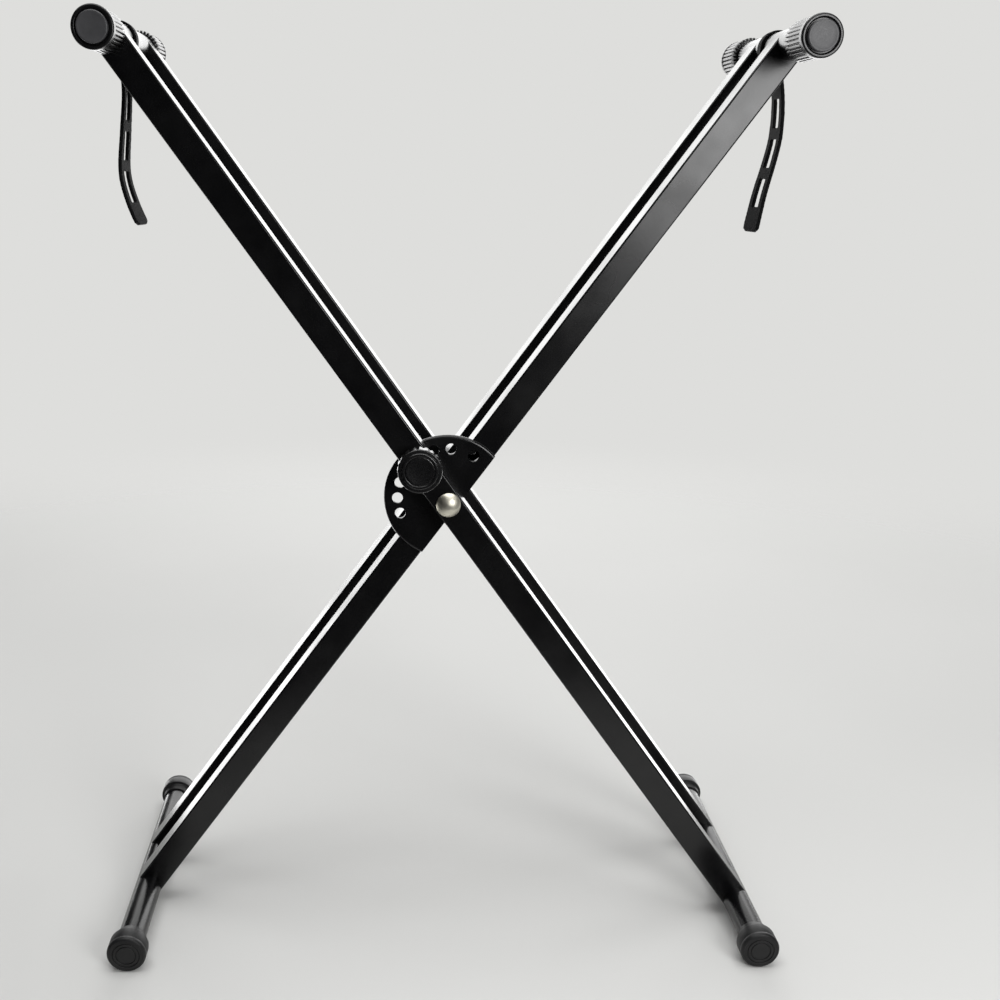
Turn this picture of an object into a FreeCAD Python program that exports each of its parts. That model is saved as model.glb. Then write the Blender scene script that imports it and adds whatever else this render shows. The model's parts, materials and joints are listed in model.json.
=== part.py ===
import FreeCAD, Part
import math
import os

# Folding X-frame keyboard stand, millimetres.
# Origin on the floor under the pivot, +X to the viewer's right, +Y away from the viewer, +Z up.
# The inner frame leans up to the right, the outer frame leans up to the left.

# ---- stance and frames ----
LEG_SLOPE = 54.2            # slope of both frames from the floor, degrees
PIVOT_TO_TOP = 475.8        # pivot axis to top rail axis
PIVOT_TO_FOOT = 500.0       # pivot axis to foot rail axis
LEG_SIZE = 25.0             # outside of the square leg tube
LEG_WALL = 1.2
LEG_CORNER_R = 1.5          # rounded long edges of the square tube
INNER_GAP = 39.6            # between the two inner legs
SIDE_GAP = 3.3              # between an inner leg and the outer leg beside it
RAIL_R = 12.7               # outside radius of the round rails
RAIL_WALL = 1.2
TOP_RAIL_HALF = 114.9       # mid-plane to the end of a top rail tube
FOOT_RAIL_HALF = 151.7      # mid-plane to the end of a foot rail tube

# ---- top collars and plugs ----
COLLAR_WALL = 3.8           # smooth front band, over the rail
COLLAR_RIB_WALL = 3.4       # crown of the ribs, over the rail
COLLAR_BAND = 7.0
COLLAR_LIP = 1.5            # collar stands this far past the tube end
COLLAR_EASE = 0.4           # broken edges of the ribs
COLLAR_EDGE_R = 1.5
COLLAR_MOUTH = 0.8          # chamfered mouth of the collar
COLLAR_GROOVES = 30
COLLAR_GROOVE_W = 1.5
COLLAR_GROOVE_DEPTH = 1.1
PLUG_MARGIN = 0.7           # face disc of the end plug, inside the rail's edge
PLUG_THICK = 3.8
PLUG_EDGE_R = 0.8
PLUG_SPIGOT = 14.0          # length inside the tube
PLUG_HOLLOW = 2.0           # wall of the hollow spigot

# ---- foot caps ----
FOOT_CAP_WALL = 5.3         # front part of the cap, over the rail
FOOT_CAP_END = 4.0          # rubber in front of the tube end
FOOT_CAP_LENGTH = 26.5
FOOT_CAP_FULL = 17.5        # length at full radius
FOOT_CAP_NECK_WALL = 2.5    # sleeve behind the step
FOOT_CAP_REAR_WALL = 1.7
FOOT_CAP_EDGE_R = 3.0
FOOT_RING_RADII = (9.0, 12.2)
FOOT_RING_W = 0.9
FOOT_RING_DEPTH = 0.7

# ---- pivot hardware ----
PIVOT_BOLT_R = 5.0
SLEEVE_R = 7.0              # outside of the sleeves in the legs
PIVOT_CLEARANCE = 0.05      # radial, outer frame on the bolt
RUN_GAP = 0.3               # side play between faces that turn on each other
SPACER_R = 8.0
DOME_R = 11.0
DOME_HEIGHT = 6.2
WASHER_R = 11.0
WASHER_THICK = 0.5
THRUST_WASHER_R = 15.0
NUT_FLATS = 17.0
NUT_HEX = 8.0
NUT_DOME_R = 7.6
NUT_DOME = 7.0
BOLT_IN_NUT = 10.0          # thread length taken by the nut

# ---- locking plate ----
PLATE_R = 57.4
PLATE_EDGE_R = 3.0
PITCH_R = 45.0              # pivot to lock pin
HOLE_R = 4.9
HOLE_CHAMFER = 0.6          # broken front edge of each hole in the plate
FOLD_ANGLE = 58.8           # hole that holds the stand folded, degrees up from +X
STEP_ANGLES = (86.4, 106.1, 125.8, 144.0, 162.3, 180.8, 199.5)

# ---- spring lock ----
BARREL_R = 8.0
FLANGE_R = 10.0
FLANGE_THICK = 1.5
CHAMBER_R = 6.5
BARREL_NECK = 5.9           # guide length behind the spring chamber
PIN_R = 4.5
PIN_CLEARANCE = 0.05
PIN_BACKOFF = 0.1           # tip behind the barrel's end face when withdrawn
PIN_THROW = 4.8             # travel from withdrawn to locked
PIN_CHAMFER = 0.9
PIN_COLLAR_R = 6.2
PIN_COLLAR = 3.0
STEM_R = 3.0
STOP_PLAY = 0.1             # collar to the chamber floor when locked
CAP_THICK = 2.7
SPRING_WIRE_R = 0.5
SPRING_MEAN_R = 5.0
SPRING_TURNS = 4.5

# ---- knob ----
KNOB_GAP = 5.1              # flange to knob skirt when withdrawn
KNOB_LENGTH = 20.0          # skirt end to front face
KNOB_R = 19.5
KNOB_RIM = 11.0             # length of the ribbed rim
KNOB_SHOULDER = 2.0         # front face to the start of the rim
KNOB_FACE_R = 17.8
KNOB_RING_R = 16.0
KNOB_RING_STEP = 0.6
KNOB_SKIRT_R = 12.5
KNOB_WAIST_R = 16.0
KNOB_POCKET_R = 9.0
KNOB_POCKET = 4.0
KNOB_FLUTES = 20
KNOB_FLUTE_R = 1.7
KNOB_FLUTE_DEPTH = 0.9
INSERT_R = 5.2
INSERT_LENGTH = 11.0
KNOB_CAP_R = 13.0
KNOB_CAP_THICK = 2.0
KNOB_CAP_SINK = 0.4         # cap face below the raised ring

# ---- keyboard straps ----
STRAP_RING_WALL = 3.7       # loop, over the clearance
STRAP_CLEARANCE = 0.1       # radial, strap loop on the rail
STRAP_RING_W = 27.0
STRAP_WIDTH = 26.5
STRAP_THICK = 3.0
STRAP_END_R = 7.0
STRAP_LEFT_Y = -15.9        # middle of the left strap's loop
STRAP_RIGHT_Y = -0.2
STRAP_SLOT_W = 11.0
STRAP_SLOT_R = 2.5
# centreline of the hanging tongue and the slot spans, measured from the rail axis
STRAP_LEFT_LINE = (
    (1.0, -14.1), (3.6, -38.7), (0.8, -71.4), (-2.0, -99.9), (-1.1, -114.0), (3.6, -131.5), (10.2, -148.5))
STRAP_LEFT_SLOTS = ((-63.5, -38.7), (-96.9, -72.4), (-130.5, -106.0))
STRAP_RIGHT_LINE = (
    (1.2, -13.9), (5.3, -36.6), (6.7, -55.1), (6.2, -73.6), (3.0, -92.1), (-3.3, -120.0), (-8.5, -151.1))
STRAP_RIGHT_SLOTS = ((-64.9, -39.7), (-97.2, -73.6), (-131.0, -106.5))

# ---- derived positions ----
COLLAR_R = RAIL_R + COLLAR_WALL
COLLAR_RIB_R = RAIL_R + COLLAR_RIB_WALL
COLLAR_MOUTH_R = RAIL_R + COLLAR_MOUTH
PLUG_R = RAIL_R - PLUG_MARGIN
FOOT_CAP_R = RAIL_R + FOOT_CAP_WALL
FOOT_CAP_NECK_R = RAIL_R + FOOT_CAP_NECK_WALL
FOOT_CAP_REAR_R = RAIL_R + FOOT_CAP_REAR_WALL
STRAP_RING_R = RAIL_R + STRAP_CLEARANCE + STRAP_RING_WALL
PIVOT_Z = PIVOT_TO_FOOT * math.sin(math.radians(LEG_SLOPE)) + FOOT_CAP_R
INNER_UP = LEG_SLOPE
OUTER_UP = 180.0 - LEG_SLOPE
INNER_IN = INNER_GAP / 2.0
INNER_OUT = INNER_IN + LEG_SIZE
OUTER_IN = INNER_OUT + SIDE_GAP
OUTER_OUT = OUTER_IN + LEG_SIZE
PLATE_THICK = SIDE_GAP - RUN_GAP
COLLAR_FRONT = TOP_RAIL_HALF + COLLAR_LIP
COLLAR_LENGTH = COLLAR_FRONT - OUTER_OUT
RAIL_BORE_R = RAIL_R - RAIL_WALL
WASHER_IN = OUTER_OUT + RUN_GAP
WASHER_OUT = WASHER_IN + WASHER_THICK
FLANGE_FACE = OUTER_OUT + FLANGE_THICK
CAP_FACE = FLANGE_FACE - CAP_THICK
CHAMBER_FLOOR = OUTER_IN + BARREL_NECK
COLLAR_REAR = CHAMBER_FLOOR + PIN_THROW + STOP_PLAY
KNOB_REAR = FLANGE_FACE + KNOB_GAP
KNOB_FRONT = KNOB_REAR + KNOB_LENGTH
STEM_END = KNOB_REAR + KNOB_POCKET + INSERT_LENGTH


def vec(x, y, z):
    return FreeCAD.Vector(x, y, z)


def polar(radius, degrees):
    """Point beside the pivot, seen from the front: angle up from +X."""
    angle = math.radians(degrees)
    return radius * math.cos(angle), PIVOT_Z + radius * math.sin(angle)


def rod(x, z, radius, y_from, y_to):
    """Round bar along Y."""
    return Part.makeCylinder(radius, y_to - y_from, vec(x, y_from, z), vec(0, 1, 0))


def pipe(x, z, outer, inner, y_from, y_to):
    """Round tube along Y."""
    return rod(x, z, outer, y_from, y_to).cut(rod(x, z, inner, y_from, y_to))


def turned(profile, x, z, sign):
    """Solid of revolution along Y at x, z. profile holds (radius, distance from the mid-plane)."""
    points = [vec(r, d * sign, 0) for r, d in profile]
    face = Part.Face(Part.makePolygon(points + [points[0]]))
    solid = face.revolve(vec(0, 0, 0), vec(0, 1, 0), 360)
    solid.translate(vec(x, 0, z))
    return solid


def arc_points(r_mid, d_mid, radius, start, end, steps=6):
    """Points of a rounded edge in a turned profile."""
    points = []
    for i in range(steps + 1):
        angle = math.radians(start + (end - start) * i / steps)
        points.append((r_mid + radius * math.cos(angle), d_mid + radius * math.sin(angle)))
    return points


def square_bar(size, corner, start, end, y_mid):
    """Bar of square section along X with rounded long edges, axis at z = 0."""
    half = size / 2.0
    bar = Part.makeBox(end - start, size, size, vec(start, y_mid - half, -half))
    edges = [e for e in bar.Edges if abs(e.tangentAt(e.FirstParameter).x) > 0.9]
    return bar.makeFillet(corner, edges)


def place_on_frame(shape, up_angle):
    """Turn a piece that was built along X to its frame's slope, about the pivot."""
    shape.rotate(vec(0, 0, 0), vec(0, -1, 0), up_angle)
    shape.translate(vec(0, 0, PIVOT_Z))
    return shape


def leg(y_mid, up_angle):
    """Square tube from foot rail to top rail, ends saddle-cut round the rails."""
    bar = square_bar(LEG_SIZE, LEG_CORNER_R, -PIVOT_TO_FOOT, PIVOT_TO_TOP, y_mid)
    hollow_size = LEG_SIZE - 2 * LEG_WALL
    hollow_corner = max(LEG_CORNER_R - LEG_WALL, 0.3)
    hollow = square_bar(hollow_size, hollow_corner, -PIVOT_TO_FOOT, PIVOT_TO_TOP, y_mid)
    tube = bar.cut(hollow)
    for x in (-PIVOT_TO_FOOT, PIVOT_TO_TOP):
        tube = tube.cut(rod(x, 0, RAIL_R, y_mid - LEG_SIZE, y_mid + LEG_SIZE))
    tube = tube.cut(rod(0, 0, SLEEVE_R, y_mid - LEG_SIZE, y_mid + LEG_SIZE))
    return place_on_frame(tube, up_angle)


def inner_front_leg():
    """The folded-position hole runs on through both walls of this leg."""
    tube = leg(-(INNER_IN + INNER_OUT) / 2.0, INNER_UP)
    x, z = polar(PITCH_R, FOLD_ANGLE)
    return tube.cut(rod(x, z, HOLE_R, -OUTER_IN, -INNER_IN + 1))


def outer_front_leg():
    tube = leg(-(OUTER_IN + OUTER_OUT) / 2.0, OUTER_UP)
    x, z = polar(PITCH_R, OUTER_UP)
    return tube.cut(rod(x, z, BARREL_R, -OUTER_OUT - 1, -OUTER_IN + 1))


def locking_plate():
    """Disc with a rounded front edge, cut off flush with the lower side of the inner leg."""
    back = INNER_OUT
    front = INNER_OUT + PLATE_THICK
    edge = min(PLATE_EDGE_R, PLATE_THICK - 0.4)
    profile = [(PIVOT_BOLT_R, back), (PLATE_R, back)]
    profile += arc_points(PLATE_R - edge, front - edge, edge, 0, 90)
    profile += [(PIVOT_BOLT_R, front)]
    plate = turned(profile, 0, 0, -1)
    reach = 2 * PLATE_R
    waste = Part.makeBox(2 * reach, 4 * PLATE_THICK, reach, vec(-reach, -front - PLATE_THICK, 0))
    waste.translate(vec(0, 0, -LEG_SIZE / 2.0 - reach))
    waste.rotate(vec(0, 0, 0), vec(0, -1, 0), INNER_UP)
    plate = plate.cut(waste)
    plate.translate(vec(0, 0, PIVOT_Z))
    holes = []
    for angle in (FOLD_ANGLE,) + STEP_ANGLES:
        x, z = polar(PITCH_R, angle)
        holes.append(rod(x, z, HOLE_R, -front - 1, -back + 1))
        wide = HOLE_R + HOLE_CHAMFER
        holes.append(Part.makeCone(wide, HOLE_R, HOLE_CHAMFER, vec(x, -front, z), vec(0, 1, 0)))
    for hole in holes:
        plate = plate.cut(hole)
    return plate


def pivot_bolt():
    """Domed head in front, plain shank through all four legs, thread in the nut."""
    tip = WASHER_OUT + BOLT_IN_NUT
    head = WASHER_OUT
    profile = [(0, -tip), (PIVOT_BOLT_R - 1, -tip), (PIVOT_BOLT_R, -tip + 1), (PIVOT_BOLT_R, head), (DOME_R, head)]
    ball = (DOME_R ** 2 + DOME_HEIGHT ** 2) / (2 * DOME_HEIGHT)
    low = math.degrees(math.asin((ball - DOME_HEIGHT) / ball))
    crown = arc_points(0, head + DOME_HEIGHT - ball, ball, low, 90, 14)
    profile += crown[1:-1] + [(0, head + DOME_HEIGHT)]
    return turned(profile, 0, PIVOT_Z, -1)


def pivot_nut():
    """Domed hexagon nut on the back."""
    flat_r = NUT_FLATS / math.sqrt(3.0)
    points = []
    for i in range(7):
        angle = math.radians(60 * i + 30)
        points.append(vec(flat_r * math.cos(angle), WASHER_OUT, flat_r * math.sin(angle)))
    body = Part.Face(Part.makePolygon(points)).extrude(vec(0, NUT_HEX, 0))
    body.translate(vec(0, 0, PIVOT_Z))
    hex_end = WASHER_OUT + NUT_HEX
    profile = [(0, hex_end), (NUT_DOME_R, hex_end), (NUT_DOME_R, hex_end + NUT_DOME * 0.4)]
    profile += [(NUT_DOME_R * 0.8, hex_end + NUT_DOME * 0.8), (NUT_DOME_R * 0.4, hex_end + NUT_DOME)]
    profile += [(0, hex_end + NUT_DOME)]
    nut = body.fuse(turned(profile, 0, PIVOT_Z, 1))
    return nut.cut(rod(0, PIVOT_Z, PIVOT_BOLT_R, WASHER_OUT - 1, WASHER_OUT + BOLT_IN_NUT)).removeSplitter()


def lock_barrel():
    x, z = polar(PITCH_R, OUTER_UP)
    barrel = rod(x, z, BARREL_R, -OUTER_OUT, -OUTER_IN)
    barrel = barrel.fuse(rod(x, z, FLANGE_R, -FLANGE_FACE, -OUTER_OUT))
    barrel = barrel.cut(rod(x, z, CHAMBER_R, -FLANGE_FACE, -CHAMBER_FLOOR))
    barrel = barrel.cut(rod(x, z, PIN_R + PIN_CLEARANCE, -CHAMBER_FLOOR - 1, -OUTER_IN + 1))
    return barrel.removeSplitter()


def barrel_cap():
    x, z = polar(PITCH_R, OUTER_UP)
    return pipe(x, z, CHAMBER_R, STEM_R + PIN_CLEARANCE, -FLANGE_FACE, -CAP_FACE)


def lock_pin():
    """Pin drawn just clear of the plate. The collar carries the spring."""
    x, z = polar(PITCH_R, OUTER_UP)
    tip = OUTER_IN + PIN_BACKOFF
    front = COLLAR_REAR + PIN_COLLAR
    profile = [(0, tip), (PIN_R - PIN_CHAMFER, tip), (PIN_R, tip + PIN_CHAMFER), (PIN_R, COLLAR_REAR)]
    profile += [(PIN_COLLAR_R, COLLAR_REAR), (PIN_COLLAR_R, front), (STEM_R, front), (STEM_R, STEM_END), (0, STEM_END)]
    return turned(profile, x, z, -1)


def coil_point(turn, pitch):
    """Point on the spring's centreline and the direction of the wire there."""
    angle = 2 * math.pi * turn
    point = vec(SPRING_MEAN_R * math.cos(angle), SPRING_MEAN_R * math.sin(angle), pitch * turn)
    reach = 2 * math.pi * SPRING_MEAN_R
    return point, vec(-reach * math.sin(angle), reach * math.cos(angle), pitch).normalize()


def tangent_arc(start, direction, end):
    """Arc from start to end that leaves start along direction."""
    chord = end - start
    side = direction.cross(chord).cross(direction).normalize()
    radius = chord.dot(chord) / (2 * chord.dot(side))
    centre = start + side * radius
    middle = centre + ((start + end) * 0.5 - centre).normalize() * radius
    return Part.Arc(start, middle, end).toShape()


def quarter_turn(start, start_way, end, end_way):
    """Two arcs that share a tangent, from start to end."""
    chord = end - start
    a = 2 * (1 - start_way.dot(end_way))
    b = 2 * chord.dot(start_way + end_way)
    reach = (-b + math.sqrt(b * b + 4 * a * chord.dot(chord))) / (2 * a)
    first = start + start_way * reach
    second = end - end_way * reach
    middle = (first + second) * 0.5
    return [tangent_arc(start, start_way, middle), tangent_arc(middle, (second - first).normalize(), end)]


def pin_spring():
    """Round-wire compression spring between the barrel cap and the pin's collar."""
    x, z = polar(PITCH_R, OUTER_UP)
    rear = COLLAR_REAR + PIN_COLLAR + SPRING_WIRE_R
    height = CAP_FACE - SPRING_WIRE_R - rear
    pitch = height / SPRING_TURNS
    edges = []
    for i in range(int(round(SPRING_TURNS * 4))):
        edges += quarter_turn(*coil_point(i / 4.0, pitch), *coil_point((i + 1) / 4.0, pitch))
    section = Part.Wire(Part.makeCircle(SPRING_WIRE_R, *coil_point(0, pitch)))
    coil = Part.Wire(edges).makePipeShell([section], True, False)
    print("spring: gap between turns %.2f" % (pitch - 2 * SPRING_WIRE_R))
    coil.rotate(vec(0, 0, 0), vec(1, 0, 0), 90)
    coil.translate(vec(x, -rear, z))
    return coil


def knob_body():
    """Fluted pull knob with a raised ring on its face and a pocket for the round cap."""
    x, z = polar(PITCH_R, OUTER_UP)
    face = KNOB_FRONT - KNOB_RING_STEP
    rim_front = KNOB_FRONT - KNOB_SHOULDER
    rim_rear = rim_front - KNOB_RIM
    cap_floor = KNOB_FRONT - KNOB_CAP_SINK - KNOB_CAP_THICK
    pocket = KNOB_REAR + KNOB_POCKET
    profile = [(0, cap_floor), (KNOB_CAP_R, cap_floor), (KNOB_CAP_R, KNOB_FRONT), (KNOB_RING_R, KNOB_FRONT)]
    profile += [(KNOB_RING_R + 0.3, face), (KNOB_FACE_R, face), (KNOB_R - 0.5, rim_front + 0.5)]
    profile += [(KNOB_R, rim_front), (KNOB_R, rim_rear), (KNOB_R - 0.8, rim_rear - 0.8)]
    profile += [(KNOB_WAIST_R, rim_rear - 0.8), (KNOB_SKIRT_R, rim_rear - 4.0), (KNOB_SKIRT_R, KNOB_REAR)]
    profile += [(KNOB_POCKET_R, KNOB_REAR), (KNOB_POCKET_R, pocket), (INSERT_R, pocket)]
    profile += [(INSERT_R, STEM_END), (0, STEM_END)]
    knob = turned(profile, x, z, -1)
    flutes = []
    for i in range(KNOB_FLUTES):
        angle = 2 * math.pi * i / KNOB_FLUTES
        reach = KNOB_R + KNOB_FLUTE_R - KNOB_FLUTE_DEPTH
        fx = x + reach * math.cos(angle)
        fz = z + reach * math.sin(angle)
        flutes.append(rod(fx, fz, KNOB_FLUTE_R, -rim_front + 0.6, -rim_rear + 1.5))
    return knob.cut(Part.makeCompound(flutes))


def knob_insert():
    x, z = polar(PITCH_R, OUTER_UP)
    return pipe(x, z, INSERT_R, STEM_R, -STEM_END, -KNOB_REAR - KNOB_POCKET)


def knob_cap():
    x, z = polar(PITCH_R, OUTER_UP)
    front = KNOB_FRONT - KNOB_CAP_SINK
    back = front - KNOB_CAP_THICK
    profile = [(0, back), (KNOB_CAP_R, back), (KNOB_CAP_R, front - 0.5), (KNOB_CAP_R - 0.5, front), (0, front)]
    return turned(profile, x, z, -1)


def top_collar(x, z, sign):
    """Ribbed rubber grip round the end of a top rail."""
    front = COLLAR_FRONT
    band_end = front - COLLAR_BAND
    profile = [(RAIL_R, OUTER_OUT), (RAIL_R, front - COLLAR_MOUTH), (COLLAR_MOUTH_R, front)]
    profile += arc_points(COLLAR_R - COLLAR_EDGE_R, front - COLLAR_EDGE_R, COLLAR_EDGE_R, 90, 0)
    profile += [(COLLAR_R, band_end), (COLLAR_RIB_R, band_end - COLLAR_EASE)]
    profile += [(COLLAR_RIB_R, OUTER_OUT + COLLAR_EASE), (COLLAR_RIB_R - COLLAR_EASE, OUTER_OUT)]
    collar = turned(profile, x, z, sign)
    depth = COLLAR_GROOVE_DEPTH
    grooves = []
    y_low = min(sign * band_end, sign * (OUTER_OUT - 1))
    y_span = band_end - OUTER_OUT + 1
    for i in range(COLLAR_GROOVES):
        cut = Part.makeBox(COLLAR_GROOVE_W, y_span, depth + 2, vec(-COLLAR_GROOVE_W / 2.0, y_low, COLLAR_RIB_R - depth))
        cut.rotate(vec(0, 0, 0), vec(0, 1, 0), 360.0 * i / COLLAR_GROOVES)
        cut.translate(vec(x, 0, z))
        grooves.append(cut)
    return collar.cut(Part.makeCompound(grooves))


def top_plug(x, z, sign):
    """Hollow plug pressed into the end of a top rail, with a plain round face."""
    back = TOP_RAIL_HALF - PLUG_SPIGOT
    front = TOP_RAIL_HALF + PLUG_THICK
    hollow_r = RAIL_BORE_R - PLUG_HOLLOW
    profile = [(0, TOP_RAIL_HALF), (hollow_r, TOP_RAIL_HALF), (hollow_r, back), (RAIL_BORE_R, back)]
    profile += [(RAIL_BORE_R, TOP_RAIL_HALF), (PLUG_R, TOP_RAIL_HALF)]
    profile += arc_points(PLUG_R - PLUG_EDGE_R, front - PLUG_EDGE_R, PLUG_EDGE_R, 0, 90, 4)
    profile += [(0, front)]
    return turned(profile, x, z, sign)


def foot_cap(x, z, sign):
    """Rubber cap over the end of a foot rail, round grooves in its end face."""
    front = FOOT_RAIL_HALF + FOOT_CAP_END
    rear = front - FOOT_CAP_LENGTH
    step = front - FOOT_CAP_FULL
    profile = [(0, FOOT_RAIL_HALF), (RAIL_R, FOOT_RAIL_HALF), (RAIL_R, rear)]
    profile += arc_points(FOOT_CAP_REAR_R - 0.6, rear + 0.6, 0.6, -90, 0, 3)
    profile += [(FOOT_CAP_NECK_R, step), (FOOT_CAP_R - 0.8, step), (FOOT_CAP_R, step + 0.8)]
    profile += arc_points(FOOT_CAP_R - FOOT_CAP_EDGE_R, front - FOOT_CAP_EDGE_R, FOOT_CAP_EDGE_R, 0, 90)
    for radius in reversed(FOOT_RING_RADII):
        profile += [(radius + FOOT_RING_W / 2.0, front), (radius + FOOT_RING_W / 2.0, front - FOOT_RING_DEPTH)]
        profile += [(radius - FOOT_RING_W / 2.0, front - FOOT_RING_DEPTH), (radius - FOOT_RING_W / 2.0, front)]
    profile += [(0, front)]
    return turned(profile, x, z, sign)


def offset_line(line, distance):
    """Points beside a centreline, square to it."""
    points = []
    for i, (x, z) in enumerate(line):
        ax, az = line[max(i - 1, 0)]
        bx, bz = line[min(i + 1, len(line) - 1)]
        length = math.hypot(bx - ax, bz - az)
        points.append(vec(x - (bz - az) / length * distance, 0, z + (bx - ax) / length * distance))
    return points


def smooth_edge(points):
    curve = Part.BSplineCurve()
    curve.interpolate(points)
    return curve.toShape()


def rounded_panel(width, low, high, corner, y_mid):
    """Panel in the YZ plane, thick in X, with rounded corners."""
    depth = 6 * STRAP_RING_R
    panel = Part.makeBox(depth, width, high - low, vec(-depth / 2.0, y_mid - width / 2.0, low))
    edges = [e for e in panel.Edges if abs(e.tangentAt(e.FirstParameter).x) > 0.9]
    return panel.makeFillet(corner, edges)


def strap(x, z, y_mid, line, slots):
    """Rubber strap: a loop round the rail and a slotted tongue that hangs from it."""
    left = offset_line(line, -STRAP_THICK / 2.0)
    right = offset_line(line, STRAP_THICK / 2.0)
    sides = [smooth_edge(left), Part.makeLine(left[-1], right[-1]), smooth_edge(right), Part.makeLine(right[0], left[0])]
    face = Part.Face(Part.Wire(Part.__sortEdges__(sides)))
    tongue = face.extrude(vec(0, STRAP_WIDTH, 0))
    tongue.translate(vec(0, y_mid - STRAP_WIDTH / 2.0, 0))
    outline = rounded_panel(STRAP_WIDTH, line[-1][1] - 1.0, 2 * STRAP_END_R, STRAP_END_R, y_mid)
    tongue = tongue.common(outline)
    for low, high in slots:
        tongue = tongue.cut(rounded_panel(STRAP_SLOT_W, low, high, STRAP_SLOT_R, y_mid))
    half = STRAP_RING_W / 2.0
    loop = rod(0, 0, STRAP_RING_R, y_mid - half, y_mid + half)
    piece = loop.fuse(tongue)
    piece = piece.cut(rod(0, 0, RAIL_R + STRAP_CLEARANCE, y_mid - STRAP_WIDTH, y_mid + STRAP_WIDTH))
    piece = piece.removeSplitter()
    piece.translate(vec(x, 0, z))
    return piece


def build():
    inner_top = polar(PIVOT_TO_TOP, INNER_UP)
    outer_top = polar(PIVOT_TO_TOP, OUTER_UP)
    inner_foot = polar(PIVOT_TO_FOOT, INNER_UP + 180.0)
    outer_foot = polar(PIVOT_TO_FOOT, OUTER_UP + 180.0)
    inner_mid = (INNER_IN + INNER_OUT) / 2.0
    outer_mid = (OUTER_IN + OUTER_OUT) / 2.0
    free_r = PIVOT_BOLT_R + PIVOT_CLEARANCE
    nodes = {
        "leg_inner_front": inner_front_leg(),
        "leg_inner_rear": leg(inner_mid, INNER_UP),
        "leg_outer_front": outer_front_leg(),
        "leg_outer_rear": leg(outer_mid, OUTER_UP),
        "top_rail_inner": pipe(*inner_top, RAIL_R, RAIL_BORE_R, -TOP_RAIL_HALF, TOP_RAIL_HALF),
        "top_rail_outer": pipe(*outer_top, RAIL_R, RAIL_BORE_R, -TOP_RAIL_HALF, TOP_RAIL_HALF),
        "foot_rail_inner": pipe(*inner_foot, RAIL_R, RAIL_BORE_R, -FOOT_RAIL_HALF, FOOT_RAIL_HALF),
        "foot_rail_outer": pipe(*outer_foot, RAIL_R, RAIL_BORE_R, -FOOT_RAIL_HALF, FOOT_RAIL_HALF),
        "lock_plate": locking_plate(),
        "hub_sleeve_inner_front": pipe(0, PIVOT_Z, SLEEVE_R, PIVOT_BOLT_R, -INNER_OUT, -INNER_IN),
        "hub_sleeve_inner_rear": pipe(0, PIVOT_Z, SLEEVE_R, PIVOT_BOLT_R, INNER_IN, INNER_OUT),
        "hub_sleeve_outer_front": pipe(0, PIVOT_Z, SLEEVE_R, free_r, -OUTER_OUT, -OUTER_IN),
        "hub_sleeve_outer_rear": pipe(0, PIVOT_Z, SLEEVE_R, free_r, OUTER_IN, OUTER_OUT),
        "hub_spacer": pipe(0, PIVOT_Z, SPACER_R, PIVOT_BOLT_R, -INNER_IN, INNER_IN),
        "thrust_washer": pipe(0, PIVOT_Z, THRUST_WASHER_R, PIVOT_BOLT_R, INNER_OUT, OUTER_IN - RUN_GAP),
        "pivot_washer_front": pipe(0, PIVOT_Z, WASHER_R, PIVOT_BOLT_R, -WASHER_OUT, -WASHER_IN),
        "pivot_washer_rear": pipe(0, PIVOT_Z, WASHER_R, PIVOT_BOLT_R, WASHER_IN, WASHER_OUT),
        "pivot_bolt": pivot_bolt(),
        "pivot_nut": pivot_nut(),
        "lock_barrel": lock_barrel(),
        "barrel_cap": barrel_cap(),
        "lock_pin": lock_pin(),
        "pin_spring": pin_spring(),
        "knob_body": knob_body(),
        "knob_insert": knob_insert(),
        "knob_cap": knob_cap(),
        "strap_left": strap(*outer_top, STRAP_LEFT_Y, STRAP_LEFT_LINE, STRAP_LEFT_SLOTS),
        "strap_right": strap(*inner_top, STRAP_RIGHT_Y, STRAP_RIGHT_LINE, STRAP_RIGHT_SLOTS),
    }
    ends = (("left", outer_top, inner_foot), ("right", inner_top, outer_foot))
    for side, top, foot in ends:
        for end, sign in (("front", -1), ("rear", 1)):
            nodes["top_collar_%s_%s" % (side, end)] = top_collar(*top, sign)
            nodes["top_plug_%s_%s" % (side, end)] = top_plug(*top, sign)
            nodes["foot_cap_%s_%s" % (side, end)] = foot_cap(*foot, sign)
    return nodes


os.makedirs("parts", exist_ok=True)
for name, shape in build().items():
    shape.exportStep("parts/" + name + ".step")
    solids = shape.Solids
    print("%-24s solids %d valid %s volume %.1f" % (name, len(solids), shape.isValid(), shape.Volume))
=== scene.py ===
# %% [markdown]
# # Folding keyboard stand
# The stand is two frames of black enamelled steel tube that cross at one bolt. Its rails end in ribbed
# rubber collars at the top and in round rubber caps on the floor. The steel pieces come from the packed
# model, which has their true shape, so here they only get their finish. Everything moulded in rubber or
# plastic is modelled again with the rounded edges that a mould leaves.

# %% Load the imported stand
import math

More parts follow.
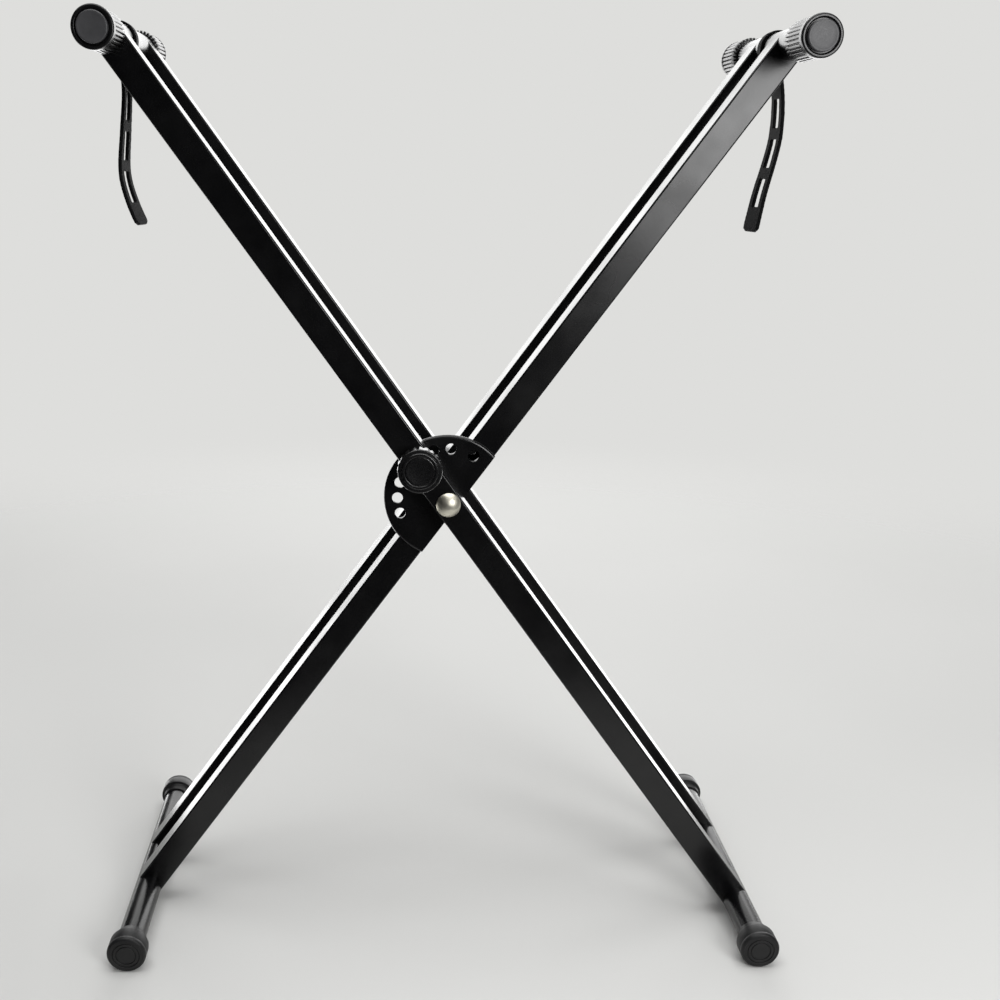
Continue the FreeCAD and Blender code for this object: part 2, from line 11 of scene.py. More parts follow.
import bmesh
import bpy
from mathutils import Matrix, Vector
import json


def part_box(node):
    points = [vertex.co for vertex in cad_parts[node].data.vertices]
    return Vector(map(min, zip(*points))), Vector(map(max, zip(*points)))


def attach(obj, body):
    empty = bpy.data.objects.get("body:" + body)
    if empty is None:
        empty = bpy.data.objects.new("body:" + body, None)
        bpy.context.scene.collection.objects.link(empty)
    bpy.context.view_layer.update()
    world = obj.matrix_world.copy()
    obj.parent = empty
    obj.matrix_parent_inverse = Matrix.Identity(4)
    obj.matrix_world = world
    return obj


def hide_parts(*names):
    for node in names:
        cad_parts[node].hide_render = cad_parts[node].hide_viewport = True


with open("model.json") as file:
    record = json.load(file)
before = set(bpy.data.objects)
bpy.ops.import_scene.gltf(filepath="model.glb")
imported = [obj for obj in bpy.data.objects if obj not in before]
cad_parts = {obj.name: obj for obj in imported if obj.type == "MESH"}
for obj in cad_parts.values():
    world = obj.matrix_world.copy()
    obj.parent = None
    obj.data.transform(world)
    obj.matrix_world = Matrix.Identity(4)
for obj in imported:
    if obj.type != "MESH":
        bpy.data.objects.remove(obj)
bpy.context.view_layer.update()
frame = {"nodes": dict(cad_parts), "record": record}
nodes = frame["nodes"]

# %% [markdown]
# Sizes below are written in millimetres, because that is how such parts are drawn. One function turns
# them to Blender's metres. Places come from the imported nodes, so a piece always sits on what carries it.


# %% Millimetres, and places read from the nodes
def mm(value):
    """Millimetres to metres."""
    return value / 1000.0


def axis_of(node):
    """X and Z of a round node whose axis runs along Y, in millimetres."""
    low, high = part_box(node)
    return (low.x + high.x) * 500.0, (low.z + high.z) * 500.0


def y_span(node):
    """Nearest and farthest Y of a node, in millimetres."""
    low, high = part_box(node)
    return low.y * 1000.0, high.y * 1000.0


PIVOT = axis_of("pivot_bolt")
KNOB_AXIS = axis_of("knob_cap")
RAIL_R = 12.7
SIDES = {
    "left": {"top": axis_of("top_rail_outer"), "foot": axis_of("foot_rail_inner")},
    "right": {"top": axis_of("top_rail_inner"), "foot": axis_of("foot_rail_outer")},
}
TOP_BODY = {"left": "outer_frame", "right": "inner_frame"}
FOOT_BODY = {"left": "inner_frame", "right": "outer_frame"}
print("pivot at %.1f, %.1f mm" % PIVOT)

# %% [markdown]
# ## Finishes
# Each finish starts from what the real surface is. The helpers keep the node trees short: one adds any
# node with its settings and links, and one starts a material with a shader and Object coordinates, which
# are in metres and stay put on a piece that moves with its frame.


# %% Colour and node helpers
def linear(hex_colour, alpha=1.0):
    """An sRGB hex colour as the linear values that the shader works in."""
    channels = [int(hex_colour[i:i + 2], 16) / 255.0 for i in (1, 3, 5)]
    return [c / 12.92 if c <= 0.04045 else ((c + 0.055) / 1.055) ** 2.4 for c in channels] + [alpha]


def add_node(tree, kind, inputs=None, **settings):
    """Adds a node, sets its options, and fills or links its inputs."""
    node = tree.nodes.new(kind)
    for name, value in settings.items():
        setattr(node, name, value)
    for socket, value in (inputs or {}).items():
        if isinstance(value, bpy.types.NodeSocket):
            tree.links.new(value, node.inputs[socket])
        else:
            node.inputs[socket].default_value = value
    return node


def start_material(name, base, **shader_values):
    """A material with a Principled shader: the material, its tree, the shader and the coordinates."""
    material = bpy.data.materials.new(name)
    material.use_nodes = True
    tree = material.node_tree
    tree.nodes.clear()
    shader = add_node(tree, "ShaderNodeBsdfPrincipled", {"Base Color": linear(base)})
    for socket, value in shader_values.items():
        shader.inputs[socket.replace("_", " ").title().replace("Ior", "IOR")].default_value = value
    add_node(tree, "ShaderNodeOutputMaterial", {"Surface": shader.outputs["BSDF"]})
    where = add_node(tree, "ShaderNodeTexCoord").outputs["Object"]
    return material, tree, shader, where


def grains(tree, where, size_mm, detail=2.0, roughness=0.5):
    """Noise whose blotches are about size_mm across."""
    noise_node = add_node(tree, "ShaderNodeTexNoise", {"Vector": where, "Scale": 1000.0 / size_mm})
    noise_node.inputs["Detail"].default_value = detail
    noise_node.inputs["Roughness"].default_value = roughness
    return noise_node.outputs["Fac"]


def spread(tree, value, low, high, from_low=0.3, from_high=0.7):
    """Stretches a noise value to the range low to high."""
    inputs = {"Value": value, "From Min": from_low, "From Max": from_high, "To Min": low, "To Max": high}
    return add_node(tree, "ShaderNodeMapRange", inputs).outputs["Result"]


def blend_colours(tree, share, first, second):
    """Mixes two hex colours by a share from 0 to 1."""
    node = add_node(tree, "ShaderNodeMix", {"Factor": share}, data_type="RGBA")
    node.inputs[6].default_value = linear(first)
    node.inputs[7].default_value = linear(second)
    return node.outputs[2]


def relief(tree, shader, height, depth_mm, strength=1.0):
    """Drives the shader's normal from a height, depth_mm from its lowest to its highest point."""
    inputs = {"Height": height, "Distance": mm(depth_mm), "Strength": strength}
    bump = add_node(tree, "ShaderNodeBump", inputs)
    tree.links.new(bump.outputs["Normal"], shader.inputs["Normal"])


# %% [markdown]
# Stoved enamel on steel tube is sprayed and baked. The paint flows to a gloss but keeps a faint orange
# peel about a millimetre across, which breaks up long reflections. Its colour is nearly pure black, so
# all that the eye reads is the reflection, and the roughness matters more than the colour.

# %% Black stoved enamel
enamel, tree, shader, where = start_material("black_stoved_enamel", "#09090a", roughness=0.24, ior=1.45)
tree.links.new(spread(tree, grains(tree, where, 45.0), 0.2, 0.3), shader.inputs["Roughness"])
tone = blend_colours(tree, spread(tree, grains(tree, where, 14.0), 0.0, 1.0), "#070708", "#0c0c0d")
tree.links.new(tone, shader.inputs["Base Color"])
relief(tree, shader, grains(tree, where, 1.1, 1.0), 0.012)
print("made", enamel.name)

# %% [markdown]
# The bolt's dome is bright nickel-chrome plate over a pressed head. Plate is a metal, so its colour is
# its reflection. Pressing leaves very fine ripples, and handling leaves a light haze.

# %% Bright plate, machined steel and spring wire
chrome, tree, shader, where = start_material("bright_plate", "#dedacb", metallic=1.0, roughness=0.42)
tree.links.new(spread(tree, grains(tree, where, 3.0, 4.0), 0.38, 0.48), shader.inputs["Roughness"])
relief(tree, shader, grains(tree, where, 2.2, 1.0), 0.01)

steel, tree, shader, where = start_material("turned_steel", "#a7a6a3", metallic=1.0, roughness=0.34)
lathe = add_node(tree, "ShaderNodeMapping", {"Vector": where, "Scale": (0.05, 6.0, 0.05)})
marks = grains(tree, lathe.outputs["Vector"], 1.2, 3.0)
tree.links.new(spread(tree, marks, 0.26, 0.42), shader.inputs["Roughness"])
relief(tree, shader, marks, 0.02)

wire, tree, shader, where = start_material("spring_wire", "#77787a", metallic=1.0, roughness=0.3)
tree.links.new(spread(tree, grains(tree, where, 1.5), 0.24, 0.4), shader.inputs["Roughness"])

brass, tree, shader, where = start_material("turned_brass", "#c9a75a", metallic=1.0, roughness=0.3)
lathe = add_node(tree, "ShaderNodeMapping", {"Vector": where, "Scale": (0.05, 6.0, 0.05)})
marks = grains(tree, lathe.outputs["Vector"], 1.0)
tree.links.new(spread(tree, marks, 0.22, 0.4), shader.inputs["Roughness"])
print("made", chrome.name, steel.name, wire.name, brass.name)

# %% [markdown]
# The collars and caps are moulded from a rubbery plasticised vinyl. A mould that was spark-eroded gives
# a fine matt grain. The straps are the dullest: talc and wear leave them with little gloss.


# %% Moulded rubber and plastics
def moulded(name, dark, light, roughness, grain_mm, grain_depth, gloss=0.5):
    """A moulded rubber or plastic: two close tones, a fine grain and a soft gloss."""
    material, tree, shader, where = start_material(name, dark, roughness=roughness, ior=1.48)
    shader.inputs["Specular IOR Level"].default_value = gloss
    share = spread(tree, grains(tree, where, 9.0, 3.0), 0.0, 1.0)
    tree.links.new(blend_colours(tree, share, dark, light), shader.inputs["Base Color"])
    fine = grains(tree, where, grain_mm, 3.0, 0.6)
    tree.links.new(spread(tree, fine, roughness - 0.06, roughness + 0.1), shader.inputs["Roughness"])
    relief(tree, shader, fine, grain_depth)
    print("made", name)
    return material


collar_rubber = moulded("collar_vinyl", "#0a0a0b", "#111112", 0.3, 0.7, 0.025)
foot_rubber = moulded("foot_vinyl", "#0d0d0e", "#151516", 0.46, 0.8, 0.05, 0.4)
strap_rubber = moulded("strap_rubber", "#0b0b0c", "#131314", 0.62, 0.9, 0.03, 0.05)
plug_plastic = moulded("plug_polyethylene", "#3a3a3c", "#434345", 0.42, 0.5, 0.05)
knob_plastic = moulded("knob_abs", "#080809", "#0d0d0e", 0.24, 0.6, 0.01, 0.8)
nylon = moulded("washer_nylon", "#161617", "#202021", 0.4, 0.8, 0.02)

# %% [markdown]
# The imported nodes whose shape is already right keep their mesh. Their material slot is all that changes.

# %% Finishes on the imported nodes
FINISH_OF_SLOT = {
    "black_enamel": enamel,
    "plated_steel": chrome,
    "bright_steel": steel,
    "spring_steel": wire,
    "black_rubber": collar_rubber,
    "strap_rubber": strap_rubber,
    "plug_plastic": plug_plastic,
    "knob_plastic": knob_plastic,
    "nylon": nylon,
    "brass": brass,
}
for row in frame["record"]["subparts"]:
    mesh = nodes[row["node"]].data
    mesh.materials.clear()
    mesh.materials.append(FINISH_OF_SLOT[row["material_slot"]])

# %% [markdown]
# ## Turned pieces
# Collars, plugs, caps, knob and bolt head are all round about an axis along Y. A turned piece starts as a
# few vertices, its half section, which is spun a full turn. The ends of the section that lie on the axis
# become poles, so doubles are merged before the normals are worked out.


# %% Spin a half section
def spin_section(section, centre, sign, steps):
    """A closed shell from points of (radius, distance from the stand's mid-plane) in millimetres."""
    x, z = centre
    shell = bmesh.new()
    ring = [shell.verts.new((mm(x + r), mm(d * sign), mm(z))) for r, d in section]
    edges = [shell.edges.new(pair) for pair in zip(ring, ring[1:] + ring[:1])]
    pivot = Vector((mm(x), 0.0, mm(z)))
    bmesh.ops.spin(
        shell, geom=ring + edges, cent=pivot, axis=(0, 1, 0), angle=math.tau, steps=steps, use_merge=True)
    bmesh.ops.remove_doubles(shell, verts=shell.verts, dist=1e-6)
    loose = [e for e in shell.edges if not e.link_faces]
    bmesh.ops.delete(shell, geom=loose, context="EDGES")
    bmesh.ops.recalc_face_normals(shell, faces=shell.faces)
    return shell


def rounded(r_mid, d_mid, radius, start, end, steps=5):
    """Points round an edge of a half section."""
    turns = [math.radians(start + (end - start) * i / steps) for i in range(steps + 1)]
    return [(r_mid + radius * math.cos(t), d_mid + radius * math.sin(t)) for t in turns]


def finish_piece(name, shell, body, material, replaced, sharp_angle=35.0):
    """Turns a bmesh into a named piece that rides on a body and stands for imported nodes."""
    for edge in shell.edges:
        edge.smooth = len(edge.link_faces) == 2 and edge.calc_face_angle() < math.radians(sharp_angle)
    for face in shell.faces:
        face.smooth = True
    mesh = bpy.data.meshes.new(name)
    shell.to_mesh(mesh)
    shell.free()
    mesh.materials.append(material)
    piece = bpy.data.objects.new(name, mesh)
    bpy.context.scene.collection.objects.link(piece)
    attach(piece, body)
    if replaced:
        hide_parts(*replaced)
    return piece


# %% [markdown]
# A collar is a smooth band in front and thirty ribs behind it. The ribs are not cut one by one: the spun
# shell has a dozen columns to a rib, and each vertex in the ribbed zone moves inward by a wave round the
# axis. The wave fades in beside the band, as the mould does, and runs out through the open rear end. Its
# troughs are narrow and deep, so that they stay dark between the shiny ribs.

# %% Ribbed collars on the top rails
COLLAR_R = 16.5
RIB_CROWN_R = 16.25
RIBS = 30
COLUMNS_PER_RIB = 12
RIB_DEPTH = 2.1
COLLAR_FRONT = y_span("top_collar_left_rear")[1]
COLLAR_REAR = y_span("top_collar_left_rear")[0]
BAND = 7.0
FIT = 0.05


def rib_wave(angle):
    """0 on a rib's crown, 1 on the floor between two ribs."""
    height = 0.5 + 0.5 * math.cos(RIBS * angle)
    return min(1.0, max(0.0, (0.44 - height) / 0.28))


def press_ribs(shell, centre, sign):
    """Moves the outer skin inward between the ribs."""
    middle = Vector((mm(centre[0]), 0.0, mm(centre[1])))
    for vert in shell.verts:
        distance = vert.co.y * sign * 1000.0
        arm = Vector((vert.co.x - middle.x, 0.0, vert.co.z - middle.z))
        if arm.length < mm(RAIL_R + 1.6) or distance > COLLAR_FRONT - BAND:
            continue
        fade = min(1.0, (COLLAR_FRONT - BAND - distance) / 1.4)
        depth = mm(RIB_DEPTH) * fade * rib_wave(math.atan2(arm.z, arm.x))
        vert.co -= arm.normalized() * depth


def collar_section():
    """Half section of a collar from its bore at the rear, round the mouth, and back along the ribs."""
    band_end = COLLAR_FRONT - BAND
    section = [(RAIL_R + FIT, COLLAR_REAR), (RAIL_R + FIT, COLLAR_FRONT - 1.1)]
    section += rounded(13.6 + 0.5, COLLAR_FRONT - 0.5, 0.5, 180, 90, 3)
    section += rounded(COLLAR_R - 1.5, COLLAR_FRONT - 1.5, 1.5, 90, 0)
    section += [(COLLAR_R, band_end + 0.3), (RIB_CROWN_R, band_end - 0.2), (RIB_CROWN_R, band_end - 0.7)]
    section += [(RIB_CROWN_R, band_end - 1.5), (RIB_CROWN_R, COLLAR_REAR + 12.0)]
    section += [(RIB_CROWN_R, COLLAR_REAR + 0.7), (RIB_CROWN_R - 0.25, COLLAR_REAR + 0.2)]
    section += [(RIB_CROWN_R - 0.7, COLLAR_REAR)]
    return section


for side, places in SIDES.items():
    for end, sign in (("front", -1), ("rear", 1)):
        shell = spin_section(collar_section(), places["top"], sign, RIBS * COLUMNS_PER_RIB)
        press_ribs(shell, places["top"], sign)
        where_at = "%s_%s" % (side, end)
        finish_piece(
            "collar_" + where_at, shell, TOP_BODY[side], collar_rubber,
            ["top_collar_" + where_at], 50.0)
print("collars %.1f mm long, %.1f mm across" % (COLLAR_FRONT - COLLAR_REAR, 2 * COLLAR_R))

# %% [markdown]
# The plug in each collar is a flat disc whose spigot is pressed into the tube. A shallow dished face and
# a rounded rim catch the light as a thin ring, and the face itself stays plain.

# %% End plugs
PLUG_R = 12.0
PLUG_BACK = y_span("top_rail_inner")[1]
PLUG_FRONT = y_span("top_plug_left_rear")[1]


def plug_section():
    """Half section of a plug: dished face, rounded rim, spigot in the tube."""
    tail = y_span("top_plug_left_rear")[0]
    section = [(0.0, PLUG_FRONT - 0.35), (7.0, PLUG_FRONT - 0.32)]
    section += [(9.6, PLUG_FRONT - 0.2), (10.4, PLUG_FRONT - 0.05)]
    section += rounded(PLUG_R - 0.9, PLUG_FRONT - 0.9, 0.9, 90, 0)
    section += [(PLUG_R, PLUG_BACK), (RAIL_R - 1.25, PLUG_BACK), (RAIL_R - 1.25, tail), (9.5, tail)]
    section += [(9.5, PLUG_BACK), (0.0, PLUG_BACK)]
    return section


for side, places in SIDES.items():
    for end, sign in (("front", -1), ("rear", 1)):
        shell = spin_section(plug_section(), places["top"], sign, 96)
        where_at = "%s_%s" % (side, end)
        finish_piece(
            "plug_" + where_at, shell, TOP_BODY[side], plug_plastic,
            ["top_plug_" + where_at])

# %% [markdown]
# A foot cap is a thick round end that the stand rests on, then a step down to a sleeve that grips the
# rail. Its end face has two round grooves. The step faces the tube and always lies in shade.

# %% Foot caps
CAP_R = 18.0
NECK_R = 15.2
SLEEVE_R = 14.4
CAP_EDGE_R = 3.0
CAP_END = 4.0
GROOVE_RADII = (12.2, 9.0)
CAP_FRONT = y_span("foot_cap_left_rear")[1]
CAP_REAR = y_span("foot_cap_left_rear")[0]
CAP_STEP = CAP_FRONT - 17.5


def groove(radius, face, width=0.9, depth=0.7):
    """A round-bottomed groove in an end face, from its outer edge inward."""
    half = width / 2.0
    outer = [(radius + half + 0.2, face), (radius + half, face - 0.15), (radius + half * 0.5, face - depth)]
    inner = [(radius - half * 0.5, face - depth), (radius - half, face - 0.15), (radius - half - 0.2, face)]
    return outer + inner


def cap_section():
    """Half section of a foot cap, from its bore round the sleeve and the end face to the axis."""
    section = [(0.0, CAP_FRONT - CAP_END), (RAIL_R + FIT, CAP_FRONT - CAP_END), (RAIL_R + FIT, CAP_REAR)]
    section += rounded(SLEEVE_R - 0.6, CAP_REAR + 0.6, 0.6, -90, 0, 3)
    section += [(NECK_R - 0.1, CAP_STEP - 1.0)]
    section += rounded(NECK_R + 0.7, CAP_STEP - 0.7, 0.7, 180, 90, 3)
    section += rounded(CAP_R - 0.8, CAP_STEP + 0.8, 0.8, -90, 0, 4)
    section += [(CAP_R, CAP_FRONT - 5.4), (CAP_R - 0.12, CAP_FRONT - 5.1), (CAP_R, CAP_FRONT - 4.8)]
    section += rounded(CAP_R - CAP_EDGE_R, CAP_FRONT - CAP_EDGE_R, CAP_EDGE_R, 0, 78, 8)
    section += [(CAP_R - 2.6, CAP_FRONT - 0.35)]
    for radius in GROOVE_RADII:
        section += groove(radius, CAP_FRONT)
    return section + [(0.0, CAP_FRONT)]


for side, places in SIDES.items():
    for end, sign in (("front", -1), ("rear", 1)):
        shell = spin_section(cap_section(), places["foot"], sign, 120)
        where_at = "%s_%s" % (side, end)
        finish_piece(
            "cap_" + where_at, shell, FOOT_BODY[side], foot_rubber,
            ["foot_cap_" + where_at])

# %% [markdown]
# ## Pull knob
# The knob is a moulded plastic grip with twenty finger flutes round its rim. Its face steps up to a
# raised ring, and a separate disc closes the middle. The flutes are pressed in with the same wave idea as
# the collar's ribs, but wide and shallow.

# %% Knob body and cap
KNOB_R = 19.5
KNOB_FRONT = -y_span("knob_body")[0]
KNOB_REAR = -y_span("knob_body")[1]
FLUTES = 20
COLUMNS_PER_FLUTE = 12
FLUTE_DEPTH = 1.0
RIM_FRONT = KNOB_FRONT - 2.0
RIM_REAR = RIM_FRONT - 11.0
RING_R = 16.0
CAP_DISC_R = 13.0


def press_flutes(shell):
    """Moves the rim inward at each flute, fading at both of its edges."""
    for vert in shell.verts:
        distance = -vert.co.y * 1000.0
        arm = Vector((vert.co.x - mm(KNOB_AXIS[0]), 0.0, vert.co.z - mm(KNOB_AXIS[1])))
        if arm.length < mm(17.0) or not RIM_REAR - 1.0 < distance < RIM_FRONT + 0.3:
            continue
        wave = 0.5 - 0.5 * math.cos(FLUTES * math.atan2(arm.z, arm.x))
        fade = min(1.0, max(0.0, (RIM_FRONT + 0.3 - distance) / 1.2))
        vert.co -= arm.normalized() * mm(FLUTE_DEPTH) * fade * wave ** 1.4


def knob_section():
    """Half section of the knob from the floor under its cap, over the rim, to the pocket behind."""
    floor = KNOB_FRONT - 2.4
    section = [(0.0, floor), (CAP_DISC_R + FIT, floor), (CAP_DISC_R + FIT, KNOB_FRONT - 0.4)]
    section += rounded(CAP_DISC_R + 0.75, KNOB_FRONT - 0.6, 0.6, 160, 90, 3)
    section += rounded(RING_R - 1.0, KNOB_FRONT - 1.0, 1.0, 90, 0, 6)
    section += [(RING_R + 0.15, KNOB_FRONT - 1.3), (RING_R + 0.6, KNOB_FRONT - 1.4)]
    section += rounded(KNOB_R - 1.5, RIM_FRONT - 0.5, 1.5, 72, 0, 5)
    section += [(KNOB_R, RIM_FRONT - 1.4), (KNOB_R, RIM_REAR + 3.0), (KNOB_R, RIM_REAR + 0.9)]
    section += [(KNOB_R - 0.4, RIM_REAR + 0.1), (KNOB_R - 1.4, RIM_REAR - 0.5), (16.0, RIM_REAR - 0.9)]
    section += [(14.2, RIM_REAR - 1.8), (13.0, RIM_REAR - 3.0)]
    section += [(12.5, RIM_REAR - 4.2), (12.5, KNOB_REAR + 0.5)]
    section += [(12.0, KNOB_REAR), (9.4, KNOB_REAR), (9.0, KNOB_REAR + 0.4), (9.0, KNOB_REAR + 4.0)]
    section += [(5.2, KNOB_REAR + 4.0), (5.2, KNOB_REAR + 15.0), (0.0, KNOB_REAR + 15.0)]
    return section


shell = spin_section(knob_section(), KNOB_AXIS, -1, FLUTES * COLUMNS_PER_FLUTE)
press_flutes(shell)
finish_piece("knob_grip", shell, "lock", knob_plastic, ["knob_body"], 50.0)

cap_face = KNOB_FRONT - 0.4
cap_disc = [(0.0, cap_face - 0.15), (10.6, cap_face - 0.12), (11.2, cap_face)]
cap_disc += rounded(CAP_DISC_R - 0.8, cap_face - 0.8, 0.8, 90, 0, 5)
cap_disc += [(CAP_DISC_R, cap_face - 2.0), (0.0, cap_face - 2.0)]
shell = spin_section(cap_disc, KNOB_AXIS, -1, 96)
finish_piece("knob_disc", shell, "lock", knob_plastic, ["knob_cap"])
print("knob %.1f mm across with %d flutes" % (2 * KNOB_R, FLUTES))

# %% [markdown]
# ## Straps
# A rubber strap is a narrow loop round the rail and a tongue with three long slots, moulded in one. It
# hangs in a lazy curve. The tongue starts flat, as a grid whose slot cells are deleted. It is given its
# thickness, bent along the curve, and then fused with the loop by a fine remesh, which also rounds every
# edge.

# %% Hanging line of each strap
STRAPS = {
    "left": {
        "line": ((1.0, -14.1), (3.6, -38.7), (0.8, -71.4), (-2.0, -99.9),
                 (-1.1, -114.0), (3.6, -131.5), (10.2, -148.5)),
        "slots": ((-63.5, -38.7), (-96.9, -72.4), (-130.5, -106.0)),
        "turn": -10.0,
    },
    "right": {
        "line": ((1.2, -13.9), (5.3, -36.6), (6.7, -55.1), (6.2, -73.6),
                 (3.0, -92.1), (-3.3, -120.0), (-8.5, -151.1)),
        "slots": ((-64.9, -39.7), (-97.2, -73.6), (-131.0, -106.5)),
        "turn": 10.0,
    },
}
STRAP_WIDTH = 26.5
STRAP_THICK = 3.0
SLOT_WIDTH = 11.0
LOOP_R = 15.0
LOOP_WIDTH = 11.0
TIP_R = 5.0
VOXEL = 0.7


def hanging_point(line, height):
    """Centre of the tongue at a height below the rail, by a smooth curve through the line's points."""
    spans = list(zip(line, line[1:]))
    index = next((i for i, (a, b) in enumerate(spans) if height >= b[1]), len(spans) - 1)
    before, start, end, after = (line[max(0, min(len(line) - 1, index + k))] for k in (-1, 0, 1, 2))
    t = (start[1] - height) / (start[1] - end[1])
    slope_start = (end[0] - before[0]) / (end[1] - before[1]) * (end[1] - start[1])
    slope_end = (after[0] - start[0]) / (after[1] - start[1]) * (end[1] - start[1])
    a = 2 * start[0] - 2 * end[0] + slope_start + slope_end
    b = -3 * start[0] + 3 * end[0] - 2 * slope_start - slope_end
    return a * t ** 3 + b * t ** 2 + slope_start * t + start[0]


def bend_tongue(shell, line, turn):
    """Moves a flat tongue, x across its thickness, onto the hanging line, and turns it towards its tip."""
    top, tip = line[0][1], line[-1][1]
    for vert in shell.verts:
        height = vert.co.z
        slope = hanging_point(line, height + 0.5) - hanging_point(line, height - 0.5)
        normal = Vector((1.0, 0.0, -slope)).normalized()
        place = Vector((0.0, vert.co.y, height)) + normal * vert.co.x
        angle = math.radians(turn) * min(1.0, max(0.0, (top - height) / (top - tip)))
        place = Matrix.Rotation(angle, 3, "Z") @ place
        vert.co = place + Vector((hanging_point(line, height), 0.0, 0.0))


# %% Build a strap and remesh it
def strap_shell(line, slots, turn, y_mid):
    """Tongue and loop of one strap in millimetres, round an axis at zero."""
    low, high = line[-1][1] - 1.0, line[0][1]
    rows, columns = 58, 24
    shell = bmesh.new()
    bmesh.ops.create_grid(shell, x_segments=columns, y_segments=rows, size=0.5)
    for vert in shell.verts:
        across, down = vert.co.x, vert.co.y
        vert.co = Vector((0.0, across * STRAP_WIDTH, low + (down + 0.5) * (high - low)))
    inside = []
    for face in shell.faces:
        centre = face.calc_center_median()
        if abs(centre.y) < SLOT_WIDTH / 2.0 and any(a < centre.z < b for a, b in slots):
            inside.append(face)
    bmesh.ops.delete(shell, geom=inside, context="FACES")
    bmesh.ops.translate(shell, verts=shell.verts, vec=(-STRAP_THICK / 2.0, 0, 0))
    made = bmesh.ops.extrude_face_region(shell, geom=shell.faces[:])
    top = [v for v in made["geom"] if isinstance(v, bmesh.types.BMVert)]
    bmesh.ops.translate(shell, verts=top, vec=(STRAP_THICK, 0, 0))
    for vert in shell.verts:
        past = low + TIP_R - vert.co.z
        if past > 0:
            reach = STRAP_WIDTH / 2.0 - TIP_R + math.sqrt(max(0.0, TIP_R ** 2 - past ** 2))
            vert.co.y = max(-reach, min(reach, vert.co.y))
    bend_tongue(shell, line, turn)
    bmesh.ops.recalc_face_normals(shell, faces=shell.faces)
    bmesh.ops.translate(shell, verts=shell.verts, vec=(0, y_mid, 0))
    return shell


def strap_loop(shell, y_mid):
    """Adds the loop round the rail to the tongue's mesh."""
    half = LOOP_WIDTH / 2.0
    bore = RAIL_R + 0.15
    section = [(bore, -half), (LOOP_R, -half), (LOOP_R, half), (bore, half)]
    ring = [shell.verts.new((r, d + y_mid, 0.0)) for r, d in section]
    edges = [shell.edges.new(pair) for pair in zip(ring, ring[1:] + ring[:1])]
    bmesh.ops.spin(
        shell, geom=ring + edges, cent=(0, 0, 0), axis=(0, 1, 0), angle=math.tau, steps=96, use_merge=True)
    bmesh.ops.remove_doubles(shell, verts=shell.verts, dist=1e-4)
    bmesh.ops.recalc_face_normals(shell, faces=shell.faces)


def remeshed(name, mesh, voxel_mm, passes):
    """Copy of a mesh rebuilt from small voxels, which joins its shells and rounds its edges."""
    raw = bpy.data.objects.new(name + "_raw", mesh)
    bpy.context.scene.collection.objects.link(raw)
    blocks = raw.modifiers.new("blocks", "REMESH")
    blocks.mode = "VOXEL"
    blocks.voxel_size = mm(voxel_mm)
    soften = raw.modifiers.new("soften", "SMOOTH")
    soften.factor = 0.5
    soften.iterations = passes
    view = bpy.context.evaluated_depsgraph_get()
    made = bpy.data.meshes.new_from_object(raw.evaluated_get(view))
    bpy.data.objects.remove(raw)
    return made


for side, shape in STRAPS.items():
    node = "strap_" + side
    low, high = y_span(node)
    y_mid = (low + high) / 2.0
    shell = strap_shell(shape["line"], shape["slots"], shape["turn"], y_mid)
    strap_loop(shell, y_mid)
    x, z = SIDES[side]["top"]
    to_rail = Matrix.Translation((mm(x), 0, mm(z))) @ Matrix.Scale(0.001, 4)
    bmesh.ops.transform(shell, matrix=to_rail, verts=shell.verts)
    rough = bpy.data.meshes.new(node + "_rough")
    shell.to_mesh(rough)
    shell.free()
    mesh = remeshed(node, rough, VOXEL, 3)
    shell = bmesh.new()
    shell.from_mesh(mesh)
    piece = finish_piece("rubber_" + node, shell, node, strap_rubber, [node], 80.0)
    print(piece.name, len(piece.data.polygons), "faces")

# %% [markdown]
# ## Bolt head
# The dome is pressed and plated, so its reflection has to be perfectly smooth. It is spun again with a
# dense crown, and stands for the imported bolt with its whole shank.

# %% Domed bolt
DOME_R = 11.0
SHANK_R = 5.0
HEAD_BACK = y_span("pivot_washer_front")[0] * -1.0
HEAD_FRONT = -y_span("pivot_bolt")[0]
BOLT_TIP = -y_span("pivot_bolt")[1]
rise = HEAD_FRONT - HEAD_BACK - 0.7
ball = (DOME_R ** 2 + rise ** 2) / (2 * rise)
low_turn = math.degrees(math.asin((ball - rise) / ball))
dome = [(0.0, BOLT_TIP), (SHANK_R - 1.0, BOLT_TIP), (SHANK_R, BOLT_TIP + 1.0), (SHANK_R, HEAD_BACK)]
dome += [(DOME_R - 0.3, HEAD_BACK), (DOME_R, HEAD_BACK + 0.3), (DOME_R, HEAD_BACK + 0.7)]
dome += rounded(0.0, HEAD_FRONT - ball, ball, low_turn, 90, 24)[1:-1] + [(0.0, HEAD_FRONT)]
shell = spin_section(dome, PIVOT, -1, 128)
finish_piece("domed_bolt", shell, "inner_frame", chrome, ["pivot_bolt"], 40.0)

# %% [markdown]
# ## Stage
# The stand is black and glossy, so what it mirrors matters as much as what lights it. Near the feet lies
# a pale floor, which fades into a backdrop of the same tone. Behind the stand are two broad white panels,
# one upright and one flat, that draw a bright line along the top of every tube. Dark drapes in front and
# at the sides keep the front faces black. Drapes and panels stay out of the picture.

